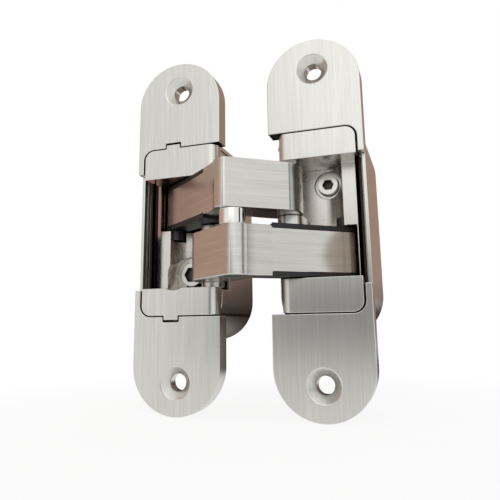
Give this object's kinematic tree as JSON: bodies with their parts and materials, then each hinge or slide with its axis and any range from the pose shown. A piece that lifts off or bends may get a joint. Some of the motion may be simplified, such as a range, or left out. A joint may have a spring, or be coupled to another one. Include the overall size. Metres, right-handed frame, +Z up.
{
  "type": "concealed door hinge",
  "caption": "Concealed door hinge lying open: two screw-on leaves with deep cups, crossed folding arms on pivot pins, and adjustable carriages.",
  "frame": {"origin": "midway between the frame leaf's two screws, on the back of its plates, the plane that seats in the frame", "axes": "+X across to the door leaf, +Y into the frame, +Z up along the door's edge"},
  "size_m": [0.0717, 0.0503, 0.11],
  "materials": {
    "satin_nickel": "satin nickel plate on zinc casting",
    "polished_nickel": "bright nickel plate on zinc casting",
    "ground_steel": "ground steel",
    "zinc_steel": "zinc plated steel",
    "black_nylon": "moulded nylon",
    "bush_plastic": "moulded acetal"
  },
  "bodies": {
    "frame_leaf": {"frame_casing": "satin_nickel"},
    "frame_slider": {"frame_carriage": "polished_nickel", "frame_pivot_pin": "ground_steel", "frame_pivot_washer": "ground_steel"},
    "depth_screw": {"frame_depth_screw": "zinc_steel"},
    "lower_arm_set": {"lower_arm": "satin_nickel", "lower_arm_hub_bush": "bush_plastic", "lower_arm_inner_glide": "black_nylon", "lower_arm_outer_glide": "black_nylon", "lower_arm_slide_pin": "ground_steel", "lower_arm_slide_bushes": "bush_plastic", "centre_pin": "ground_steel", "centre_bush": "ground_steel"},
    "upper_arm_set": {"upper_arm": "satin_nickel", "upper_arm_hub_bush": "bush_plastic", "upper_arm_inner_glide": "black_nylon", "upper_arm_outer_glide": "black_nylon", "upper_arm_slide_pin": "ground_steel", "upper_arm_slide_bushes": "bush_plastic"},
    "door_slider": {"door_carriage": "polished_nickel", "door_pivot_pin": "ground_steel", "door_pivot_washer": "ground_steel"},
    "clamp_screw": {"door_clamp_screw": "zinc_steel"},
    "door_leaf": {"door_casing": "satin_nickel"}
  },
  "joints": [
    {"name": "frame_depth_adjustment", "type": "slide", "parent": "frame_leaf", "child": "frame_slider", "axis": [0, 1, 0], "range_m": [-0.001, 0.001]},
    {"name": "depth_screw_turn", "type": "hinge", "parent": "frame_slider", "child": "depth_screw", "pos_m": [-0.0011, 0.01, -0.0129], "axis": [0, 1, 0], "range_deg": [-361, 361]},
    {"name": "door_fold", "type": "hinge", "parent": "frame_slider", "child": "lower_arm_set", "pos_m": [0.00932, 0.0013, 0], "axis": [0, 0, -1], "range_deg": [0, 100]},
    {"name": "centre_pin_turn", "type": "hinge", "parent": "lower_arm_set", "child": "upper_arm_set", "pos_m": [0.02185, -0.0156, 0], "axis": [0, 0, 1], "range_deg": [0, 20.1]},
    {"name": "door_pivot_turn", "type": "hinge", "parent": "upper_arm_set", "child": "door_slider", "pos_m": [0.03438, 0.0013, 0], "axis": [0, 0, -1], "range_deg": [0, 100.1]},
    {"name": "door_side_adjustment", "type": "slide", "parent": "door_slider", "child": "door_leaf", "axis": [1, 0, 0], "range_m": [-0.0002, 0.0008]},
    {"name": "clamp_screw_turn", "type": "hinge", "parent": "door_slider", "child": "clamp_screw", "pos_m": [0.0448, 0.01, 0.0129], "axis": [0, 1, 0], "range_deg": [-180, 180]}
  ],
  "couplings": [
    {"joint": "depth_screw_turn", "follows": "frame_depth_adjustment", "rad_per_m": 6283.2},
    {"joint": "centre_pin_turn", "follows": "door_fold", "ratio": 0.2},
    {"joint": "door_pivot_turn", "follows": "door_fold", "ratio": 1}
  ]
}
